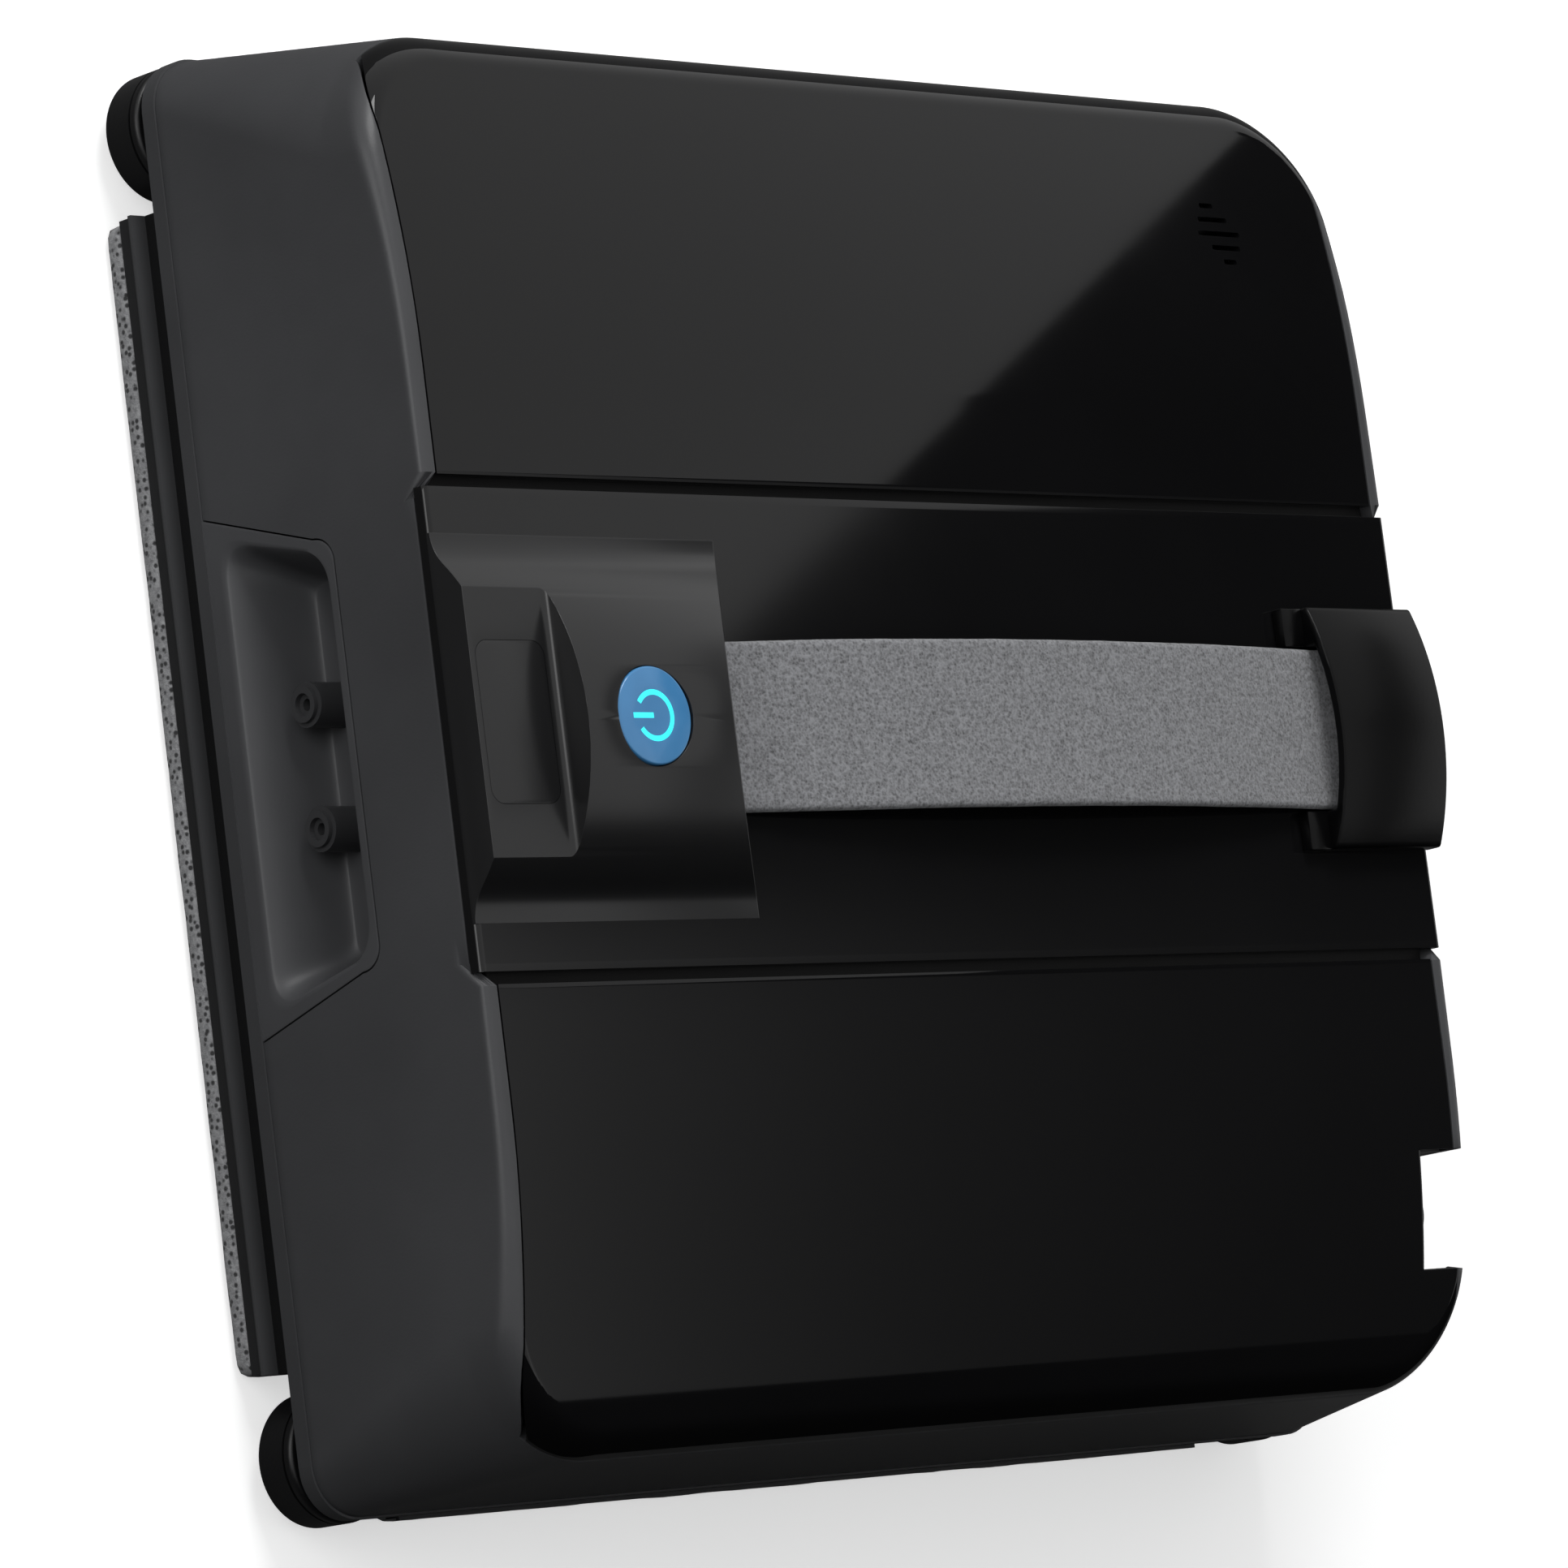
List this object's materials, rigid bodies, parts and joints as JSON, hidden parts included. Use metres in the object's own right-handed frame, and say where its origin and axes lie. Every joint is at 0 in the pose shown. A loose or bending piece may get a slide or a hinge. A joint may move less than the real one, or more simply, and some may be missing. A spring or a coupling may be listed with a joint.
{
  "type": "window cleaning robot",
  "caption": "Square window cleaning robot with gloss face panels, carrying strap, power button, spray nozzles, microfibre pad, belt drive and suction fan.",
  "frame": {"origin": "centre of the underside of the cleaning pad, on the glass", "axes": "+Z away from the glass, +X along the carrying strap from the power button to the clip, +Y towards the side with the loudspeaker slots"},
  "size_m": [0.24, 0.24, 0.0756],
  "materials": {
    "pad_fabric": "matt",
    "strap_fabric": "matt",
    "gloss_black": "gloss",
    "gloss_console": "gloss",
    "clip_black": "satin",
    "shell_satin": "satin",
    "tray_black": "satin",
    "plate_black": "matt",
    "bay_black": "satin",
    "button_blue": "gloss",
    "icon_cyan": "lit",
    "roller_rubber": "matt",
    "belt_rubber": "matt",
    "seal_rubber": "matt",
    "wheel_plastic": "satin",
    "gear_plastic": "satin",
    "pinion_brass": "polished",
    "steel": "brushed",
    "motor_can": "satin",
    "frame_dark": "matt",
    "fan_white": "satin",
    "board_green": "satin",
    "battery_blue": "satin",
    "tank_clear": "clear",
    "hose_clear": "clear",
    "pump_grey": "satin",
    "sensor_red": "gloss",
    "inlet_black": "satin",
    "hook_black": "matt"
  },
  "bodies": {
    "base": {"cleaning_pad": "pad_fabric", "hook_strips": "hook_black", "pad_plate": "plate_black", "base_tray": "tray_black", "side_shell": "shell_satin", "upper_panel": "gloss_black", "lower_panel": "gloss_black", "centre_panel": "gloss_console", "strap_clip": "clip_black", "strap_pins": "steel", "handle_strap": "strap_fabric", "button_switch": "board_green", "water_tank": "tank_clear", "water_pump": "pump_grey", "spray_hoses": "hose_clear", "nozzle_bay": "bay_black", "spray_nozzle_upper": "inlet_black", "spray_nozzle_lower": "inlet_black", "cable_pocket": "bay_black", "power_inlet": "inlet_black", "speaker": "motor_can", "main_board": "board_green", "mid_frame": "frame_dark", "battery_pack": "battery_blue", "intake_seal": "seal_rubber", "fan_housing": "frame_dark", "fan_cover": "frame_dark", "fan_motor": "motor_can", "exhaust_duct": "frame_dark", "exhaust_grille": "bay_black", "drive_belt_upper": "belt_rubber", "drive_belt_lower": "belt_rubber", "gear_motor_upper": "motor_can", "gear_motor_lower": "motor_can", "track_frame_upper": "frame_dark", "track_frame_lower": "frame_dark", "track_axles": "steel", "roller_pins": "steel", "edge_sensors": "sensor_red", "tray_screws": "steel"},
    "impeller": {"impeller": "fan_white"},
    "drive_upper": {"drive_wheel_upper": "wheel_plastic", "drive_gear_upper": "gear_plastic"},
    "drive_lower": {"drive_wheel_lower": "wheel_plastic", "drive_gear_lower": "gear_plastic"},
    "idler_upper": {"idler_wheel_upper": "wheel_plastic"},
    "idler_lower": {"idler_wheel_lower": "wheel_plastic"},
    "pinion_upper": {"motor_pinion_upper": "pinion_brass"},
    "pinion_lower": {"motor_pinion_lower": "pinion_brass"},
    "roller_1": {"corner_roller_1": "roller_rubber"},
    "roller_2": {"corner_roller_2": "roller_rubber"},
    "roller_3": {"corner_roller_3": "roller_rubber"},
    "roller_4": {"corner_roller_4": "roller_rubber"},
    "button": {"power_button": "button_blue", "button_icon": "icon_cyan"},
    "cap": {"filler_cap": "gloss_console"}
  },
  "joints": [
    {"name": "impeller_spin", "type": "hinge", "parent": "base", "child": "impeller", "pos_m": [0, 0, 0.02], "axis": [0, 0, 1], "continuous": true},
    {"name": "drive_wheel_spin_upper", "type": "hinge", "parent": "base", "child": "drive_upper", "pos_m": [-0.052, 0.058, 0.0143], "axis": [0, 1, 0], "continuous": true},
    {"name": "drive_wheel_spin_lower", "type": "hinge", "parent": "base", "child": "drive_lower", "pos_m": [0.052, -0.058, 0.0143], "axis": [0, 1, 0], "continuous": true},
    {"name": "idler_spin_upper", "type": "hinge", "parent": "base", "child": "idler_upper", "pos_m": [0.052, 0.058, 0.0143], "axis": [0, 1, 0], "continuous": true},
    {"name": "idler_spin_lower", "type": "hinge", "parent": "base", "child": "idler_lower", "pos_m": [-0.052, -0.058, 0.0143], "axis": [0, 1, 0], "continuous": true},
    {"name": "pinion_spin_upper", "type": "hinge", "parent": "base", "child": "pinion_upper", "pos_m": [-0.052, 0.0455, 0.0306], "axis": [0, 1, 0], "continuous": true},
    {"name": "pinion_spin_lower", "type": "hinge", "parent": "base", "child": "pinion_lower", "pos_m": [0.052, -0.0455, 0.0306], "axis": [0, 1, 0], "continuous": true},
    {"name": "corner_roller_spin_1", "type": "hinge", "parent": "base", "child": "roller_1", "pos_m": [-0.109, 0.109, 0.007], "axis": [0, 0, 1], "continuous": true},
    {"name": "corner_roller_spin_2", "type": "hinge", "parent": "base", "child": "roller_2", "pos_m": [0.109, 0.109, 0.007], "axis": [0, 0, 1], "continuous": true},
    {"name": "corner_roller_spin_3", "type": "hinge", "parent": "base", "child": "roller_3", "pos_m": [0.109, -0.109, 0.007], "axis": [0, 0, 1], "continuous": true},
    {"name": "corner_roller_spin_4", "type": "hinge", "parent": "base", "child": "roller_4", "pos_m": [-0.109, -0.109, 0.007], "axis": [0, 0, 1], "continuous": true},
    {"name": "power_button_press", "type": "slide", "parent": "base", "child": "button", "axis": [0, 0, -1], "range_m": [0, 0.001], "stiffness_N_per_m": 600, "springref_m": -0.0003},
    {"name": "filler_cap_lift", "type": "slide", "parent": "base", "child": "cap", "axis": [0, 0, 1], "range_m": [0, 0.008]}
  ],
  "couplings": [
    {"joint": "idler_spin_upper", "follows": "drive_wheel_spin_upper", "ratio": 1},
    {"joint": "idler_spin_lower", "follows": "drive_wheel_spin_lower", "ratio": 1},
    {"joint": "pinion_spin_upper", "follows": "drive_wheel_spin_upper", "ratio": -2},
    {"joint": "pinion_spin_lower", "follows": "drive_wheel_spin_lower", "ratio": -2}
  ]
}
